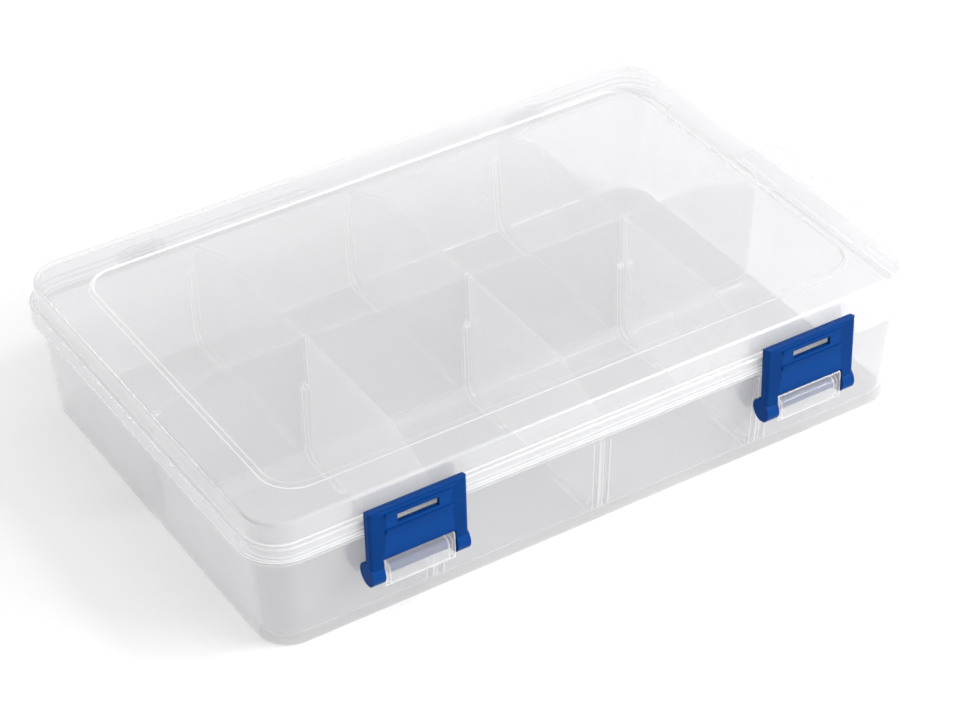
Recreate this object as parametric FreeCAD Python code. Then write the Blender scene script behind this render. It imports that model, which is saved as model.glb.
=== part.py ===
import FreeCAD, Part
import math
import os

# Lidded parts sorting tray: a clear tray with eight compartments, six lift-out
# cross dividers, a hinged clear lid and two clip latches on the front.
# Millimetres. The origin is the centre of the tray's underside, +Z is up,
# +X runs along the long front side and +Y points to the hinge side.

Vec = FreeCAD.Vector

# ---- driving dimensions ------------------------------------------------------
LENGTH = 300.0              # over the rim flange, along X
WIDTH = 201.3               # over the rim flange, along Y
HEIGHT = 62.0               # table to lid top

WALL = 1.6                  # tray wall and floor
LID_WALL = 1.5
RIM_Z = 44.2                # underside of the tray's rim flange
FLANGE_THICK = 1.5
LIP_TOP = 50.0              # top of the tray wall inside the lid
RIM_CORNER = 17.6           # plan radius of the rim flange
RIM_OVERHANG = 3.8          # flange edge beyond the tray wall
BASE_DRAFT = 2.8            # how far the wall leans in between rim and base
BASE_ROUND = 1.2            # outer edge of the underside
LIP_ROUND = 0.6
RIM_ROUND = 0.5             # both edges of the rim flange

STEP_Z = 52.5               # ledge round the lid that the latches hook over
STEP_OUT = 2.5              # ledge width
SEAM_GAP = 0.3              # between the lid's skirt and the rim flange
PANEL_INSET = 18.1          # lid edge to the sunken panel
PANEL_DEPTH = 0.7
PANEL_CORNER = 12.8
PANEL_ROUND = 0.6           # upper edge of the sunken panel
PANEL_FOOT_ROUND = 0.5
LID_ROUND = 1.6             # upper edge of the lid
LEDGE_ROUND = 0.8
CEILING_ROUND = 1.0

DIVIDER_THICK = 1.4
DIVIDER_TOP = 59.3
DIVIDER_PITCH = 73.7        # column spacing along X
SHOULDER_Z = 48.3           # where divider and partition ends start to slope
PARTITION_SHOULDER = 29.0   # sloped length at each end of the partition
DIVIDER_SHOULDER = 29.5     # sloped length at the outer end of a divider
PARTITION_THICK = 1.6
PLATE_ROUND = 0.4           # upper edges of the partition and the dividers
DIVIDER_PLAY = 0.4          # divider to the walls at its ends
FOOT_R = 5.8                # bevelled foot corners of a divider, clear of the pocket's bend
BEVEL_SHARE = 0.29          # of FOOT_R, where the two bevels of a foot meet

GUIDE_TOP = 37.8            # top of the guide ribs
GUIDE_OUT = 1.6             # how far a rib stands off its wall
GUIDE_RAIL = 1.0            # height of its run along the floor
GUIDE_REACH = 18.0          # length of that run
GUIDE_BEND = 8.0            # inside radius where it turns onto the floor
GUIDE_HALF = 3.44           # centre of the groove to a rib's outer side
GROOVE_HALF = 1.0
GUIDE_ROUND = 0.35          # long outer edges of a rib
POCKET_FILLET = 5.0
POCKET_CORNER = 9.0         # plan radius where a pocket meets the partition

LATCH_CENTRES = {"left": -86.5, "right": 89.8}
LATCH_WIDTH = 41.6
LATCH_FRONT = 104.6         # distance of its face from the middle
LATCH_TOP = 57.1
LATCH_TOP_BACK = 56.2       # its top slopes down a little towards the lid
LATCH_SKIN = 1.8
LATCH_ROUND = 1.4           # upright edges of the face
LATCH_BEVEL = 0.7           # upper edge of the face
LATCH_BACK = 100.95         # back edge of its top and side walls
ARM_WIDTH = 5.4
ARM_FOOT = 3.0              # arm below the pivot's centre
PIVOT_Y = -101.0
PIVOT_Z = 26.8
PIVOT_R = 1.6               # the bar's necks, which turn in the bracket's cheeks
BAR_R = 2.5                 # the bar between the cheeks
BAR_HALF = 12.3
FIT_CLEARANCE = 0.06        # radial, round every pin
KNUCKLE_R = 4.9
HOOK_UNDER = 52.9
HOOK_BITE = 1.4             # hook tip over the lid's ledge
HOOK_TIP = 0.9              # height of its blunt tip
HOOK_MARGIN = 2.0           # hook beyond the window on each side
WINDOW_HALF = 8.8
WINDOW_FOOT = 48.6
WINDOW_HEAD = 52.4
GRIP_HALF = 13.4
GRIP_R = 0.9
GRIP_HEIGHTS = (53.6, 46.2)
NOTCH_TOP = 33.8
BRACKET_WIDTH = 29.8
BRACKET_CHEEK = 2.1
BRACKET_TOP = 33.5
BRACKET_FOOT = 21.2
BRACKET_NOSE = 1.0          # in front of the bar
BRACKET_ROUND = 2.0
HOOD_GAP = 0.3              # round the bar inside the hood
THROAT_SHARE = 0.8          # throat width over the neck's diameter

HINGE_X = 92.0              # hinge centres, left and right of the middle
HINGE_Y = 104.6
HINGE_Z = 46.0
HINGE_PIN_R = 2.0
HINGE_RING_R = 3.6
HINGE_EAR_R = 3.0
HINGE_HALF = 7.0            # half length of the lid's knuckle
EAR_THICK = 2.5
EAR_GAP = 0.4               # knuckle to ear
EAR_DROP = 1.2              # ear root below the rim flange
MOUTH_SHARE = 0.85          # knuckle's open mouth over the pin's diameter
WEB_RISE = 0.6              # underside of the knuckle's web above its centre

TAB_REACH = 20.5            # hang tab beyond the rim flange
TAB_Y = -3.0                # middle of the tab
TAB_TIP_HALF = 28.0
TAB_ROOT_HALF = 34.0
TAB_THICK = 1.8
TAB_BEVEL = 3.5             # length of its slanted corners
TAB_TAPER = 2.0             # root to bend, on each side
TAB_CORNER = 2.5
TAB_ROUND = 0.4
HANG_HOLE_R = 2.3
HANG_HOLE_EDGE = 5.6        # hole centre to the tab's outer edge

# ---- worked out --------------------------------------------------------------
RIM_X, RIM_Y = LENGTH / 2, WIDTH / 2
TOP_X, TOP_Y = RIM_X - STEP_OUT, RIM_Y - STEP_OUT
TOP_CORNER = RIM_CORNER - STEP_OUT
TRAY_X, TRAY_Y = RIM_X - RIM_OVERHANG, RIM_Y - RIM_OVERHANG
TRAY_CORNER = RIM_CORNER - RIM_OVERHANG
BASE_X, BASE_Y = TRAY_X - BASE_DRAFT, TRAY_Y - BASE_DRAFT
FLANGE_TOP = RIM_Z + FLANGE_THICK
SKIRT_Z = FLANGE_TOP + SEAM_GAP
PARTITION_HALF = PARTITION_THICK / 2
COLUMNS = [-DIVIDER_PITCH, 0.0, DIVIDER_PITCH]
OVERLAP = 0.5               # how far fused features run into each other
TINY = 1e-4


def rounded_rect(x0, x1, y0, y1, z, radii):
    """Closed wire at height z; radii are for the corners at
    (x0, y0), (x1, y0), (x1, y1) and (x0, y1)."""
    a, b, c, d = radii
    s = math.sqrt(0.5)
    edges = []

    def line(p, q):
        edges.append(Part.LineSegment(Vec(*p, z), Vec(*q, z)).toShape())

    def corner(start, centre, r, sx, sy, end):
        mid = (centre[0] + sx * r * s, centre[1] + sy * r * s)
        edges.append(Part.Arc(Vec(*start, z), Vec(*mid, z), Vec(*end, z)).toShape())

    line((x0 + a, y0), (x1 - b, y0))
    corner((x1 - b, y0), (x1 - b, y0 + b), b, 1, -1, (x1, y0 + b))
    line((x1, y0 + b), (x1, y1 - c))
    corner((x1, y1 - c), (x1 - c, y1 - c), c, 1, 1, (x1 - c, y1))
    line((x1 - c, y1), (x0 + d, y1))
    corner((x0 + d, y1), (x0 + d, y1 - d), d, -1, 1, (x0, y1 - d))
    line((x0, y1 - d), (x0, y0 + a))
    corner((x0, y0 + a), (x0 + a, y0 + a), a, -1, -1, (x0 + a, y0))
    return Part.Wire(edges)


def centred(half_x, half_y, radius, z):
    return rounded_rect(-half_x, half_x, -half_y, half_y, z, [radius] * 4)


def slab(half_x, half_y, radius, z0, z1):
    """Upright plate with rounded corners."""
    return Part.Face(centred(half_x, half_y, radius, z0)).extrude(Vec(0, 0, z1 - z0))


def loft(*wires):
    return Part.makeLoft(list(wires), True, True)


def block(x0, x1, y0, y1, z0, z1):
    return Part.makeBox(x1 - x0, y1 - y0, z1 - z0, Vec(x0, y0, z0))


def rod(x0, x1, y, z, radius):
    """Cylinder along X."""
    return Part.makeCylinder(radius, x1 - x0, Vec(x0, y, z), Vec(1, 0, 0))


def plate_yz(points, x0, x1):
    """Flat outline in Y and Z, thickened along X."""
    wire = Part.makePolygon([Vec(x0, y, z) for y, z in points + points[:1]])
    return Part.Face(wire).extrude(Vec(x1 - x0, 0, 0))


def plate_xz(points, y0, y1):
    """Flat outline in X and Z, thickened along Y."""
    wire = Part.makePolygon([Vec(x, y0, z) for x, z in points + points[:1]])
    return Part.Face(wire).extrude(Vec(0, y1 - y0, 0))


def edges_at_height(shape, z):
    """Edges that lie wholly in the plane at height z."""
    return [e for e in shape.Edges
            if abs(e.BoundBox.ZMin - z) < TINY and abs(e.BoundBox.ZMax - z) < TINY]


def round_level(shape, z, radius):
    return shape.makeFillet(radius, edges_at_height(shape, z))


def crest_edges(plate):
    """Long upper edges of an upright plate, sloped shoulders included."""
    return [e for e in plate.Edges
            if e.BoundBox.ZMin > SHOULDER_Z - TINY and e.Length > DIVIDER_SHOULDER / 2]


def join(shapes):
    """One clean solid from overlapping solids."""
    return shapes[0].multiFuse(shapes[1:]).removeSplitter()


def mirrored_y(shape):
    return shape.mirror(Vec(0, 0, 0), Vec(0, 1, 0))


# ---- tray --------------------------------------------------------------------
def wall_y(z):
    """Inner face of the long back wall at height z."""
    lean = BASE_DRAFT * min(z, RIM_Z) / RIM_Z
    return BASE_Y + lean - WALL


def tray_shell():
    base = loft(centred(BASE_X, BASE_Y, TRAY_CORNER, 0),
                centred(TRAY_X, TRAY_Y, TRAY_CORNER, RIM_Z))
    base = round_level(base, 0, BASE_ROUND)
    lip = slab(TRAY_X, TRAY_Y, TRAY_CORNER, RIM_Z - OVERLAP, LIP_TOP)
    lip = round_level(lip, LIP_TOP, LIP_ROUND)
    flange = slab(RIM_X, RIM_Y, RIM_CORNER, RIM_Z, FLANGE_TOP)
    flange = round_level(round_level(flange, RIM_Z, RIM_ROUND), FLANGE_TOP, RIM_ROUND)
    return join([base, lip, flange])


def pocket():
    """The hollow of the back row, from the floor up past the lip."""
    outer_r = TRAY_CORNER - WALL
    radii = [POCKET_CORNER, POCKET_CORNER, outer_r, outer_r]
    floor_x = BASE_X - WALL

    def section(half_x, y1, z):
        return rounded_rect(-half_x, half_x, PARTITION_HALF, y1, z, radii)

    lower = loft(section(floor_x, BASE_Y - WALL, WALL),
                 section(TRAY_X - WALL, TRAY_Y - WALL, RIM_Z))
    lower = round_level(lower, WALL, POCKET_FILLET)
    mouth = Part.Face(section(TRAY_X - WALL, TRAY_Y - WALL, RIM_Z))
    upper = mouth.extrude(Vec(0, 0, HEIGHT - RIM_Z))
    return join([lower, upper])


def partition_top():
    """The fixed middle wall above the pockets, with its two sloped ends."""
    end_x = TRAY_X - WALL + OVERLAP
    low_z = RIM_Z - FLANGE_THICK
    shoulder_x = TRAY_X - WALL - PARTITION_SHOULDER
    outline = [(-end_x, low_z), (end_x, low_z), (end_x, SHOULDER_Z), (shoulder_x, DIVIDER_TOP),
               (-shoulder_x, DIVIDER_TOP), (-end_x, SHOULDER_Z)]
    plate = plate_xz(outline, -PARTITION_HALF, PARTITION_HALF)
    return plate.makeFillet(PLATE_ROUND, crest_edges(plate))


def guide_outline(wall_low, wall_top, way):
    """J-shaped rib in Y and Z: up the wall, round a bend and along the floor.
    The wall's face is at wall_low by the floor and at wall_top by the rib's
    top; way is +1 where the rib's floor run points to +Y."""
    root_low, root_top = wall_low - way * OVERLAP, wall_top - way * OVERLAP
    face_low, face_top = wall_low + way * GUIDE_OUT, wall_top + way * GUIDE_OUT
    rail_z = WALL + GUIDE_RAIL
    toe_y = face_low + way * (GUIDE_BEND + GUIDE_REACH - GUIDE_OUT)
    s = math.sqrt(0.5)
    centre_y = face_low + way * GUIDE_BEND
    centre_z = rail_z + GUIDE_BEND
    points = [Vec(0, root_low, WALL / 2), Vec(0, root_top, GUIDE_TOP),
              Vec(0, face_top, GUIDE_TOP - GUIDE_OUT), Vec(0, face_low, centre_z)]
    bend_mid = Vec(0, centre_y - way * GUIDE_BEND * s, centre_z - GUIDE_BEND * s)
    bend_end = Vec(0, centre_y, rail_z)
    toe = [Vec(0, toe_y, rail_z), Vec(0, toe_y + way * GUIDE_RAIL, WALL / 2)]
    edges = [Part.LineSegment(p, q).toShape() for p, q in zip(points, points[1:])]
    edges.append(Part.Arc(points[-1], bend_mid, bend_end).toShape())
    run = [bend_end] + toe + [points[0]]
    edges += [Part.LineSegment(p, q).toShape() for p, q in zip(run, run[1:])]
    return Part.Face(Part.Wire(edges))


def rib_edges(rib):
    """The edges of a rib that follow its J, away from the wall and the floor."""
    return [e for e in rib.Edges
            if e.BoundBox.XLength < TINY and e.BoundBox.ZMin > WALL
            and e.BoundBox.ZMax < GUIDE_TOP - TINY]


def guides_back_row():
    """Rib pairs that hold the dividers of the back row."""
    outer = guide_outline(wall_y(WALL), wall_y(GUIDE_TOP), -1)
    inner = guide_outline(PARTITION_HALF, PARTITION_HALF, 1)
    ribs = []
    for column in COLUMNS:
        for x0 in (column - GUIDE_HALF, column + GROOVE_HALF):
            for outline in (outer, inner):
                rib = outline.extrude(Vec(GUIDE_HALF - GROOVE_HALF, 0, 0))
                rib = rib.makeFillet(GUIDE_ROUND, rib_edges(rib))
                rib.translate(Vec(x0, 0, 0))
                ribs.append(rib)
    return ribs


def latch_bracket():
    """Clear hook on the front wall that the latch's bar clips into from below.
    Its two cheeks carry the bar's necks; between them it is a hollow hood."""
    half = BRACKET_WIDTH / 2
    hood_half = half - BRACKET_CHEEK
    front = PIVOT_Y - BAR_R - BRACKET_NOSE
    root = -wall_y(BRACKET_FOOT) - WALL / 2
    body = block(-half, half, front, root, BRACKET_FOOT, BRACKET_TOP)
    brow = [e for e in body.Edges
            if abs(e.BoundBox.YMax - front) < TINY and e.BoundBox.XLength > half
            and e.BoundBox.ZMin > PIVOT_Z]
    body = body.makeFillet(BRACKET_ROUND, brow)
    neck = rod(-half, half, PIVOT_Y, PIVOT_Z, PIVOT_R + FIT_CLEARANCE)
    throat_half = THROAT_SHARE * PIVOT_R
    throat = block(-half, half, PIVOT_Y - throat_half, PIVOT_Y + throat_half,
                   BRACKET_FOOT, PIVOT_Z)
    hood_r = BAR_R + HOOD_GAP
    hood = rod(-hood_half, hood_half, PIVOT_Y, PIVOT_Z, hood_r)
    hood_foot = block(-hood_half, hood_half, PIVOT_Y - hood_r, PIVOT_Y + hood_r,
                      BRACKET_FOOT, PIVOT_Z)
    return body.cut(neck).cut(throat).cut(hood).cut(hood_foot)


def hinge_ears():
    """Two ears with a pin between them, on the back of the rim flange."""
    ears = []
    inside = HINGE_HALF + EAR_GAP
    for x0 in (-inside - EAR_THICK, inside):
        disc = rod(x0, x0 + EAR_THICK, HINGE_Y, HINGE_Z, HINGE_EAR_R)
        root = block(x0, x0 + EAR_THICK, RIM_Y - FLANGE_THICK, HINGE_Y,
                     RIM_Z - EAR_DROP, FLANGE_TOP)
        ears += [disc, root]
    reach = inside + EAR_THICK / 2
    ears.append(rod(-reach, reach, HINGE_Y, HINGE_Z, HINGE_PIN_R))
    return ears


def hang_tab():
    """Flat tab on the right-hand rim with a hanging hole."""
    tip_x = RIM_X + TAB_REACH
    root_x = RIM_X - FLANGE_THICK
    bend_x = tip_x - TAB_BEVEL
    bend_half = TAB_ROOT_HALF - TAB_TAPER
    outline = [(root_x, -TAB_ROOT_HALF), (bend_x, -bend_half), (tip_x, -TAB_TIP_HALF),
               (tip_x, TAB_TIP_HALF), (bend_x, bend_half), (root_x, TAB_ROOT_HALF)]
    z0 = FLANGE_TOP - TAB_THICK
    wire = Part.makePolygon([Vec(x, TAB_Y + y, z0) for x, y in outline + outline[:1]])
    tab = Part.Face(wire).extrude(Vec(0, 0, TAB_THICK))
    corners = [e for e in tab.Edges
               if e.BoundBox.ZLength > TAB_THICK / 2 and e.BoundBox.XMin > tip_x - TINY]
    tab = tab.makeFillet(TAB_CORNER, corners)
    tab = round_level(tab, FLANGE_TOP, TAB_ROUND)
    hole = Part.makeCylinder(HANG_HOLE_R, 2 * TAB_THICK,
                             Vec(tip_x - HANG_HOLE_EDGE, TAB_Y, z0 - OVERLAP))
    return tab.cut(hole)


def make_tray():
    hollow = pocket()
    shell = tray_shell().cut(hollow).cut(mirrored_y(hollow))
    back_ribs = guides_back_row()
    features = [shell, partition_top(), hang_tab()] + back_ribs + [mirrored_y(r) for r in back_ribs]
    for centre in LATCH_CENTRES.values():
        bracket = latch_bracket()
        bracket.translate(Vec(centre, 0, 0))
        features.append(bracket)
    for side in (-1, 1):
        for piece in hinge_ears():
            piece.translate(Vec(side * HINGE_X, 0, 0))
            features.append(piece)
    return join(features)


# ---- lift-out dividers -------------------------------------------------------
def make_divider(column, row):
    """One cross divider; row is +1 for the back row and -1 for the front row."""
    near = PARTITION_HALF + DIVIDER_PLAY
    low_y = wall_y(WALL) - DIVIDER_PLAY
    high_y = wall_y(SHOULDER_Z) - DIVIDER_PLAY
    far_low, far_high = low_y - DIVIDER_PLAY, high_y - DIVIDER_PLAY
    bevel = FOOT_R * BEVEL_SHARE
    outline = [(near, WALL + FOOT_R), (near + bevel, WALL + bevel), (near + FOOT_R, WALL),
               (far_low - FOOT_R, WALL), (far_low - bevel, WALL + bevel), (far_low, WALL + FOOT_R),
               (far_high, RIM_Z), (far_high, SHOULDER_Z),
               (high_y - DIVIDER_SHOULDER, DIVIDER_TOP), (near, DIVIDER_TOP)]
    half = DIVIDER_THICK / 2
    divider = plate_yz(outline, column - half, column + half)
    divider = divider.makeFillet(PLATE_ROUND, crest_edges(divider))
    return divider if row > 0 else mirrored_y(divider)


# ---- lid ---------------------------------------------------------------------
def lid_knuckle():
    """Clip-on knuckle at the lid's back edge, open downwards."""
    ring = rod(-HINGE_HALF, HINGE_HALF, HINGE_Y, HINGE_Z, HINGE_RING_R)
    web = block(-HINGE_HALF, HINGE_HALF, RIM_Y - LID_WALL / 2, HINGE_Y,
                HINGE_Z + WEB_RISE, HINGE_Z + HINGE_RING_R)
    bore = rod(-HINGE_HALF, HINGE_HALF, HINGE_Y, HINGE_Z, HINGE_PIN_R + FIT_CLEARANCE)
    mouth_half = MOUTH_SHARE * HINGE_PIN_R
    mouth = block(-HINGE_HALF, HINGE_HALF, HINGE_Y - mouth_half, HINGE_Y + mouth_half,
                  HINGE_Z - HINGE_RING_R, HINGE_Z)
    return ring.fuse(web).cut(bore).cut(mouth)


def make_lid():
    """Cap over a wider skirt, hollow below, with a sunken panel in its top."""
    panel_x, panel_y = TOP_X - PANEL_INSET, TOP_Y - PANEL_INSET
    ceiling = HEIGHT - LID_WALL
    below = SKIRT_Z - OVERLAP
    cap = round_level(slab(TOP_X, TOP_Y, TOP_CORNER, SKIRT_Z, HEIGHT), HEIGHT, LID_ROUND)
    skirt = round_level(slab(RIM_X, RIM_Y, RIM_CORNER, SKIRT_Z, STEP_Z), STEP_Z, LEDGE_ROUND)
    sunk = slab(panel_x, panel_y, PANEL_CORNER, HEIGHT - PANEL_DEPTH, HEIGHT + OVERLAP)
    sunk = round_level(sunk, HEIGHT - PANEL_DEPTH, PANEL_FOOT_ROUND)
    hollow = slab(TOP_X - LID_WALL, TOP_Y - LID_WALL, TOP_CORNER - LID_WALL, below, ceiling)
    hollow = round_level(hollow, ceiling, CEILING_ROUND)
    panel_back = slab(panel_x + LID_WALL, panel_y + LID_WALL, PANEL_CORNER + LID_WALL,
                      ceiling - PANEL_DEPTH, ceiling)
    skirt_hollow = slab(RIM_X - LID_WALL, RIM_Y - LID_WALL, RIM_CORNER - LID_WALL,
                        below, STEP_Z - LID_WALL)
    lid = join([cap, skirt]).cut(sunk).cut(hollow.cut(panel_back)).cut(skirt_hollow)
    panel_edges = [e for e in edges_at_height(lid, HEIGHT)
                   if max(abs(e.BoundBox.XMin), abs(e.BoundBox.XMax)) < panel_x + TINY
                   and max(abs(e.BoundBox.YMin), abs(e.BoundBox.YMax)) < panel_y + TINY]
    lid = lid.makeFillet(PANEL_ROUND, panel_edges)
    knuckles = []
    for side in (-1, 1):
        knuckle = lid_knuckle()
        knuckle.translate(Vec(side * HINGE_X, 0, 0))
        knuckles.append(knuckle)
    return join([lid] + knuckles)


# ---- latches -----------------------------------------------------------------
def capsule(half_length, y, z, radius):
    """Raised grip bar along X with round ends."""
    bar = rod(-half_length, half_length, y, z, radius)
    tips = [Part.makeSphere(radius, Vec(x, y, z)) for x in (-half_length, half_length)]
    return bar.multiFuse(tips)


def make_latch():
    """Shallow box open to the back, with a hook that bites on the lid's ledge,
    two arms and the bar between them."""
    half = LATCH_WIDTH / 2
    front, back = -LATCH_FRONT, -LATCH_BACK
    inner = front + LATCH_SKIN
    arm_in = half - ARM_WIDTH
    face = block(-half, half, front, inner, NOTCH_TOP, LATCH_TOP - LATCH_SKIN)
    brow = [(front, LATCH_TOP - LATCH_BEVEL), (front + LATCH_BEVEL, LATCH_TOP),
            (back, LATCH_TOP_BACK)]
    top = plate_yz([(front, LATCH_TOP - 2 * LATCH_SKIN)] + brow +
                   [(back, LATCH_TOP_BACK - LATCH_SKIN), (inner, LATCH_TOP - 2 * LATCH_SKIN)],
                   -half, half)
    side_wall = [(front, PIVOT_Z)] + brow + [(back, PIVOT_Z)]
    pieces = [face, top]
    for x0 in (-half, half - LATCH_SKIN):
        pieces.append(plate_yz(side_wall, x0, x0 + LATCH_SKIN))
    for x0 in (-half, arm_in):
        pieces.append(block(x0, x0 + ARM_WIDTH, front, PIVOT_Y,
                            PIVOT_Z - ARM_FOOT, NOTCH_TOP + OVERLAP))
        pieces.append(rod(x0, x0 + ARM_WIDTH, PIVOT_Y, PIVOT_Z, KNUCKLE_R))
    body = join(pieces)

    uprights = [e for e in body.Edges
                if abs(e.BoundBox.YMax - front) < TINY and e.BoundBox.ZLength > half
                and abs(abs(e.BoundBox.XMax) - half) < TINY]
    body = body.makeFillet(LATCH_ROUND, uprights)

    tip = -TOP_Y - STEP_OUT + HOOK_BITE
    hook_half = WINDOW_HALF + HOOK_MARGIN
    hook = plate_yz([(inner - OVERLAP, HOOK_UNDER), (tip, HOOK_UNDER), (tip, HOOK_UNDER + HOOK_TIP),
                     (inner, LATCH_TOP - LATCH_SKIN), (inner - OVERLAP, LATCH_TOP - LATCH_SKIN)],
                    -hook_half, hook_half)
    window = block(-WINDOW_HALF, WINDOW_HALF, front - OVERLAP, inner + OVERLAP,
                   WINDOW_FOOT, WINDOW_HEAD)
    necks = rod(-arm_in - OVERLAP, arm_in + OVERLAP, PIVOT_Y, PIVOT_Z, PIVOT_R)
    bar = rod(-BAR_HALF, BAR_HALF, PIVOT_Y, PIVOT_Z, BAR_R)
    grips = [capsule(GRIP_HALF, front, z, GRIP_R) for z in GRIP_HEIGHTS]
    return join([body, hook, necks, bar] + grips).cut(window)


# ---- the pieces --------------------------------------------------------------
def save(name, shape):
    solid = shape.Solids[0] if len(shape.Solids) == 1 else shape
    solid.exportStep(os.path.join("parts", name + ".step"))
    print(name, len(shape.Solids), shape.isValid(), round(shape.Volume), shape.BoundBox)


os.makedirs("parts", exist_ok=True)
save("tray", make_tray())
save("lid", make_lid())
for side, centre in LATCH_CENTRES.items():
    latch = make_latch()
    latch.translate(Vec(centre, 0, 0))
    save("latch_" + side, latch)
for row, row_name in ((-1, "front"), (1, "back")):
    for column, column_name in zip(COLUMNS, ("left", "middle", "right")):
        save("divider_%s_%s" % (row_name, column_name), make_divider(column, row))
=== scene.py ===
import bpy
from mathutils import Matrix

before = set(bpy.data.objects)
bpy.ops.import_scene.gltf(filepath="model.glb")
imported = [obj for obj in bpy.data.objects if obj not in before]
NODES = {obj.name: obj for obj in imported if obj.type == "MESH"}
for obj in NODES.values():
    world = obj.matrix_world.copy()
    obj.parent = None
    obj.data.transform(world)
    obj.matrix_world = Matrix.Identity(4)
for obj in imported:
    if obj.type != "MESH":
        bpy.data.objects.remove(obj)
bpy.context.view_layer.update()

import math

import bpy
from mathutils import Matrix, Vector

# Lidded parts sorting tray. The moulded pieces are the CAD's own; this script
# gives them their plastics, the floor, the light and the camera. Metres.

DIVIDERS = [name for name in NODES if name.startswith("divider_")]
LATCHES = ["latch_left", "latch_right"]
WHITE = (1.0, 1.0, 1.0, 1)


# ---- node helpers --------------------------------------------------------------
class Graph:
    """A small helper for writing a node tree as code."""

    def __init__(self, material):
        material.use_nodes = True
        self.tree = material.node_tree
        self.tree.nodes.clear()

    def add(self, kind, **inputs):
        node = self.tree.nodes.new(kind)
        for key, value in inputs.items():
            name = key.replace("_", " ")
            if name in node.inputs:
                self.feed(value, node.inputs[name])
            else:
                setattr(node, key, value)
        return node

    def feed(self, value, socket):
        if isinstance(value, bpy.types.NodeSocket):
            self.tree.links.new(value, socket)
        else:
            socket.default_value = value

    def math(self, operation, a, b=0.0, clamp=False):
        node = self.tree.nodes.new("ShaderNodeMath")
        node.operation = operation
        node.use_clamp = clamp
        self.feed(a, node.inputs[0])
        self.feed(b, node.inputs[1])
        return node.outputs[0]

    def ramp(self, factor, *stops):
        node = self.tree.nodes.new("ShaderNodeValToRGB")
        self.feed(factor, node.inputs[0])
        elements = node.color_ramp.elements
        while len(elements) < len(stops):
            elements.new(0.5)
        for element, (place, colour) in zip(elements, stops):
            element.position = place
            element.color = colour
        return node.outputs[0]

    def spread(self, value, low, high):
        """value from 0..1 mapped to low..high."""
        node = self.tree.nodes.new("ShaderNodeMapRange")
        self.feed(value, node.inputs["Value"])
        node.inputs["To Min"].default_value = low
        node.inputs["To Max"].default_value = high
        return node.outputs["Result"]

    def mix_colours(self, factor, first, second):
        node = self.tree.nodes.new("ShaderNodeMix")
        node.data_type = "RGBA"
        self.feed(factor, node.inputs[0])
        self.feed(first, node.inputs[6])
        self.feed(second, node.inputs[7])
        return node.outputs[2]

    def mix_shaders(self, factor, first, second):
        node = self.tree.nodes.new("ShaderNodeMixShader")
        self.feed(factor, node.inputs[0])
        self.feed(first, node.inputs[1])
        self.feed(second, node.inputs[2])
        return node.outputs[0]

    def output(self, shader):
        out = self.tree.nodes.new("ShaderNodeOutputMaterial")
        self.tree.links.new(shader, out.inputs["Surface"])


def object_space(graph, scale=(1, 1, 1)):
    """Coordinates in metres that stay with the piece."""
    coords = graph.add("ShaderNodeTexCoord")
    mapping = graph.add("ShaderNodeMapping")
    graph.tree.links.new(coords.outputs["Object"], mapping.inputs["Vector"])
    mapping.inputs["Scale"].default_value = scale
    return mapping.outputs["Vector"]


def noise(graph, vector, scale, detail=3.0, roughness=0.55):
    node = graph.add("ShaderNodeTexNoise", Scale=scale, Detail=detail, Roughness=roughness)
    graph.tree.links.new(vector, node.inputs["Vector"])
    return node.outputs[0]


def bump(graph, height, distance, strength=1.0):
    node = graph.add("ShaderNodeBump", Strength=strength, Distance=distance)
    graph.feed(height, node.inputs["Height"])
    return node.outputs["Normal"]


# ---- plastics ------------------------------------------------------------------
EDGE_REACH = 0.0014         # how far the pale edge runs onto a face
EDGE_GAIN = 5.0
EDGE_OPACITY = 0.85
EDGE_PAINTED_GLOW = 0.4            # share of edge shading given to a painted glow, a painted highlight along edges
EDGE_PAINTED_GLOW_STRENGTH = 1.05
OPACITY_POWER = 2.6         # how late a face turns milky as it slants away
CLOUD_SCALE, RIPPLE_SCALE, SCUFF_SCALE = 14.0, 55.0, 900.0
CLOUD_SPREAD = 0.18         # opacity, more or less
ROUGH_SPREAD = 0.04
SCUFF_ROUGH, SCUFF_HEIGHT = 0.06, 0.012
RIPPLE_HEIGHT, RIPPLE_STRENGTH = 0.00035, 0.25
GLOSS_FACE_ON, GLOSS_SLANT, GLOSS_POWER = 0.07, 0.85, 5.0
CLOUD_SHADE = 0.98          # darker flow clouds over the lighter ones
COOL = 0.002                # blue let through beyond red and green


def edge_mask(graph, radius, gain):
    """0 on flat faces, rising to 1 along edges and tight bends."""
    rounded = graph.add("ShaderNodeBevel", samples=4, Radius=radius)
    flat = graph.add("ShaderNodeNewGeometry")
    dot = graph.tree.nodes.new("ShaderNodeVectorMath")
    dot.operation = "DOT_PRODUCT"
    graph.feed(rounded.outputs["Normal"], dot.inputs[0])
    graph.feed(flat.outputs["Normal"], dot.inputs[1])
    turn = graph.math("SUBTRACT", 1.0, graph.math("ABSOLUTE", dot.outputs["Value"]))
    return graph.math("MULTIPLY", turn, gain, clamp=True)


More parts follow.
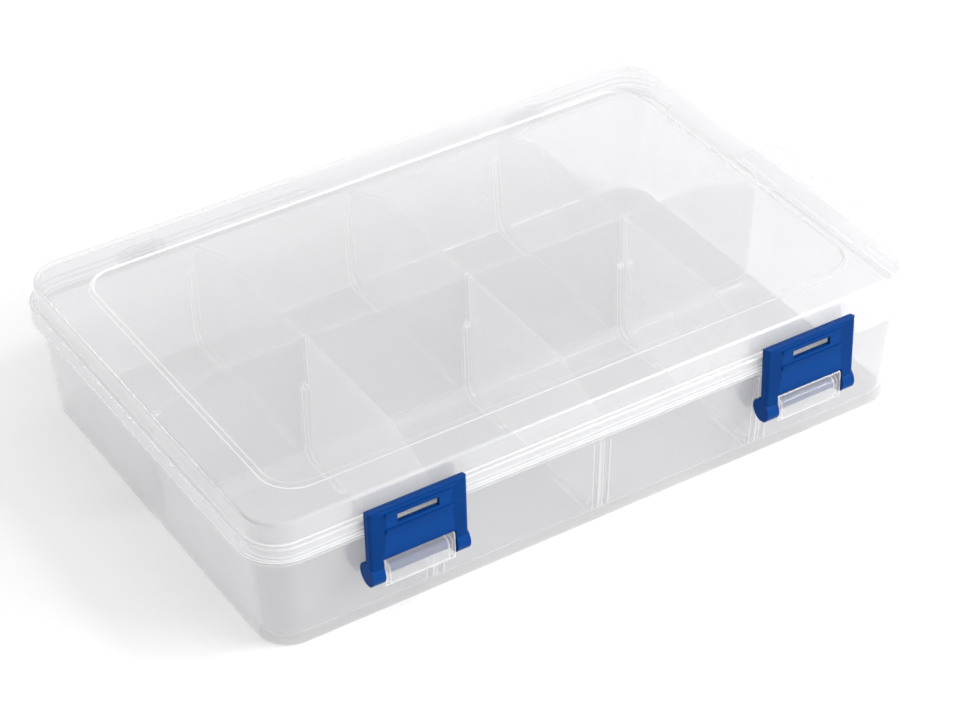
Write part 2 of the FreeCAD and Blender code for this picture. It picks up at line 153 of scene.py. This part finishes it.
def milky_plastic(name, tint, milk_face_on, milk_slanted, roughness, glow_share, clarity):
    """Translucent moulded polypropylene: see-through face on, milky at a slant
    and along its edges, where a white tint and an emission glow also paint a highlight; with flow
    clouds, a faint moulded ripple and fine scuffs."""
    material = bpy.data.materials.new(name)
    g = Graph(material)
    space = object_space(g)
    clouds = noise(g, space, CLOUD_SCALE, 4.0)
    ripple = noise(g, space, RIPPLE_SCALE, 2.0)
    scuffs = noise(g, object_space(g, (1.0, 0.12, 1.0)), SCUFF_SCALE, 2.0, 0.7)

    slant = g.add("ShaderNodeLayerWeight", Blend=0.5).outputs["Facing"]
    steep = g.math("POWER", slant, OPACITY_POWER)
    opacity = g.math("ADD", g.math("MULTIPLY", steep, milk_slanted - milk_face_on), milk_face_on)
    cloudy = g.spread(clouds, 1 - CLOUD_SPREAD, 1 + CLOUD_SPREAD)
    opacity = g.math("MULTIPLY", opacity, cloudy, clamp=True)
    edges = edge_mask(g, EDGE_REACH, EDGE_GAIN)
    opacity = g.math("MAXIMUM", opacity, g.math("MULTIPLY", edges, EDGE_OPACITY))

    rough = g.math("ADD", g.spread(clouds, roughness - ROUGH_SPREAD, roughness + ROUGH_SPREAD),
                   g.math("MULTIPLY", scuffs, SCUFF_ROUGH))
    relief = g.math("ADD", ripple, g.math("MULTIPLY", scuffs, SCUFF_HEIGHT))
    normal = bump(g, relief, RIPPLE_HEIGHT, RIPPLE_STRENGTH)
    sheen = g.math("MULTIPLY", g.math("POWER", slant, GLOSS_POWER), GLOSS_SLANT)
    gloss_share = g.math("ADD", sheen, GLOSS_FACE_ON, clamp=True)

    dark = tuple(c * CLOUD_SHADE for c in tint)
    flow = g.ramp(clouds, (0.3, dark + (1,)), (0.7, tuple(tint) + (1,)))
    # Edges turn white: partly the plastic's milkier edges, partly a painted highlight for the
    # bright edge lines.
    colour = g.mix_colours(edges, flow, WHITE)
    milk = g.add("ShaderNodeBsdfDiffuse", Color=colour, Normal=normal)
    glow = g.add("ShaderNodeBsdfTranslucent", Color=colour, Normal=normal)
    haze = g.mix_shaders(glow_share, milk.outputs[0], glow.outputs[0])
    # Painted highlight: the edges glow by emission, brighter than the light that falls on them.
    painted_edge_glow = g.add("ShaderNodeEmission", Color=WHITE, Strength=EDGE_PAINTED_GLOW_STRENGTH)
    haze = g.mix_shaders(g.math("MULTIPLY", edges, EDGE_PAINTED_GLOW), haze, painted_edge_glow.outputs[0])
    through = g.add("ShaderNodeBsdfTransparent", Color=(clarity, clarity, clarity + COOL, 1))
    inside = g.mix_shaders(opacity, through.outputs[0], haze)
    gloss = g.add("ShaderNodeBsdfGlossy", Color=WHITE, Roughness=rough, Normal=normal)
    g.output(g.mix_shaders(gloss_share, inside, gloss.outputs[0]))
    return material


def blue_plastic(name, colour):
    """Opaque moulded polypropylene with a fine satin grain and lighter convex edges."""
    material = bpy.data.materials.new(name)
    g = Graph(material)
    space = object_space(g)
    clouds = noise(g, space, 60.0, 3.0)
    grain = noise(g, space, 2600.0, 2.0)
    # Colour turns lighter along convex edges, where the mesh is pointy.
    edges = g.add("ShaderNodeNewGeometry").outputs["Pointiness"]
    convex_lighter = g.ramp(edges, (0.50, (0, 0, 0, 1)), (0.56, (1, 1, 1, 1)))

    deep = tuple(c * 0.86 for c in colour)
    convex_edge_colour = tuple(c * 1.35 + 0.003 for c in colour)
    base = g.ramp(clouds, (0.35, deep + (1,)), (0.65, tuple(colour) + (1,)))

    body = g.add("ShaderNodeBsdfPrincipled")
    skin = g.mix_colours(g.math("MULTIPLY", convex_lighter, 0.6), base, convex_edge_colour + (1,))
    g.feed(skin, body.inputs["Base Color"])
    g.feed(g.spread(clouds, 0.34, 0.44), body.inputs["Roughness"])
    g.feed(bump(g, grain, 0.00008, 0.5), body.inputs["Normal"])
    body.inputs["IOR"].default_value = 1.49
    body.inputs["Specular IOR Level"].default_value = 0.04
    g.output(body.outputs[0])
    return material


def floor_material():
    material = bpy.data.materials.new("floor_paper")
    g = Graph(material)
    space = object_space(g)
    mottle = noise(g, space, 3.0, 2.0)
    body = g.add("ShaderNodeBsdfPrincipled")
    paper = g.ramp(mottle, (0.3, (0.73, 0.73, 0.735, 1)), (0.7, (0.75, 0.75, 0.75, 1)))
    g.feed(paper, body.inputs["Base Color"])
    body.inputs["Roughness"].default_value = 0.9
    body.inputs["Specular IOR Level"].default_value = 0.1
    body.inputs["Emission Color"].default_value = WHITE
    body.inputs["Emission Strength"].default_value = 0.20
    g.output(body.outputs[0])
    return material


def dress(node, material):
    """Gives a CAD node its finished material."""
    for slot in NODES[node].material_slots:
        slot.material = material


TRAY_CLEAR = milky_plastic("tray_polypropylene", tint=(0.965, 0.965, 0.98), milk_face_on=0.12,
                           milk_slanted=0.75, roughness=0.13, glow_share=0.35, clarity=0.925)
LID_CLEAR = milky_plastic("lid_polypropylene", tint=(0.985, 0.985, 0.997), milk_face_on=0.18,
                          milk_slanted=0.85, roughness=0.13, glow_share=0.25, clarity=0.985)
DIVIDER_CLEAR = milky_plastic("divider_polypropylene", tint=(0.99, 0.99, 0.998), milk_face_on=0.15,
                              milk_slanted=0.80, roughness=0.16, glow_share=0.7, clarity=0.997)
LATCH_BLUE = blue_plastic("latch_polypropylene", (0.0005, 0.036, 0.176))

dress("tray", TRAY_CLEAR)
dress("lid", LID_CLEAR)
for node in DIVIDERS:
    dress(node, DIVIDER_CLEAR)
for node in LATCHES:
    dress(node, LATCH_BLUE)


# ---- floor ---------------------------------------------------------------------
FLOOR_HALF = 6.0


def make_floor():
    low, high = -FLOOR_HALF, FLOOR_HALF
    corners = [(low, low, 0), (high, low, 0), (high, high, 0), (low, high, 0)]
    mesh = bpy.data.meshes.new("floor")
    mesh.from_pydata(corners, [], [(0, 1, 2, 3)])
    floor = bpy.data.objects.new("floor", mesh)
    bpy.context.scene.collection.objects.link(floor)
    mesh.materials.append(floor_material())


# ---- light ---------------------------------------------------------------------
LIGHT_TARGET = Vector((0, 0, 0.03))
LIGHTS = [                  # name, place, width, height, power in watts
    ("key_softbox", (0.75, -0.55, 1.25), 0.3, 0.25, 5),
    ("front_softbox", (2.0, -1.9, 1.3), 1.6, 1.05, 50),
    ("back_softbox", (-0.9, 1.03, 0.62), 0.25, 0.2, 2),
]
WORLD_BRIGHT_WAY = (0.66, -0.66, 0.36)
WORLD_DIM, WORLD_BRIGHT = 0.05, 1.4


def area_light(name, place, width, height, power):
    data = bpy.data.lights.new(name, "AREA")
    data.shape = "RECTANGLE"
    data.size = width
    data.size_y = height
    data.energy = power
    lamp = bpy.data.objects.new(name, data)
    lamp.location = place
    lamp.rotation_euler = (LIGHT_TARGET - Vector(place)).to_track_quat("-Z", "Y").to_euler()
    bpy.context.scene.collection.objects.link(lamp)


def make_world():
    """A white studio, brightest towards the front right and dim behind on the left."""
    world = bpy.data.worlds.new("studio")
    bpy.context.scene.world = world
    world.use_nodes = True
    tree = world.node_tree
    coords = tree.nodes.new("ShaderNodeTexCoord")
    toward = tree.nodes.new("ShaderNodeVectorMath")
    toward.operation = "DOT_PRODUCT"
    toward.inputs[1].default_value = WORLD_BRIGHT_WAY
    side = tree.nodes.new("ShaderNodeMapRange")
    tree.links.new(coords.outputs["Generated"], toward.inputs[0])
    tree.links.new(toward.outputs["Value"], side.inputs["Value"])
    side.inputs["From Min"].default_value = -1.0
    side.inputs["To Min"].default_value = WORLD_DIM
    side.inputs["To Max"].default_value = WORLD_BRIGHT
    background = tree.nodes["Background"]
    background.inputs["Color"].default_value = WHITE
    tree.links.new(side.outputs["Result"], background.inputs["Strength"])


def make_lights():
    make_world()
    for light in LIGHTS:
        area_light(*light)


# ---- camera --------------------------------------------------------------------
AZIMUTH, ELEVATION, ROLL = -30.85, 37.09, -1.83
DISTANCE = 1.2442
FOCAL = 3.2028              # focal length over the sensor's width
SHIFT_X, SHIFT_Y = 0.0080, 0.0363


def make_camera():
    a, e, r = (math.radians(v) for v in (AZIMUTH, ELEVATION, ROLL))
    back = Vector((math.sin(a) * math.cos(e), -math.cos(a) * math.cos(e), math.sin(e)))
    level = Vector((math.cos(a), math.sin(a), 0))
    rise = back.cross(level)
    right = level * math.cos(r) + rise * math.sin(r)
    up = rise * math.cos(r) - level * math.sin(r)
    data = bpy.data.cameras.new("camera")
    data.sensor_width = 36.0
    data.lens = 36.0 * FOCAL
    data.shift_x, data.shift_y = SHIFT_X, SHIFT_Y
    data.clip_end = 50.0
    camera = bpy.data.objects.new("camera", data)
    frame_axes = Matrix((right, up, back)).transposed().to_4x4()
    camera.matrix_world = Matrix.Translation(back * DISTANCE) @ frame_axes
    bpy.context.scene.collection.objects.link(camera)
    bpy.context.scene.camera = camera


make_floor()
make_lights()
make_camera()
bpy.context.scene.view_settings.view_transform = "Standard"
bpy.context.view_layer.update()
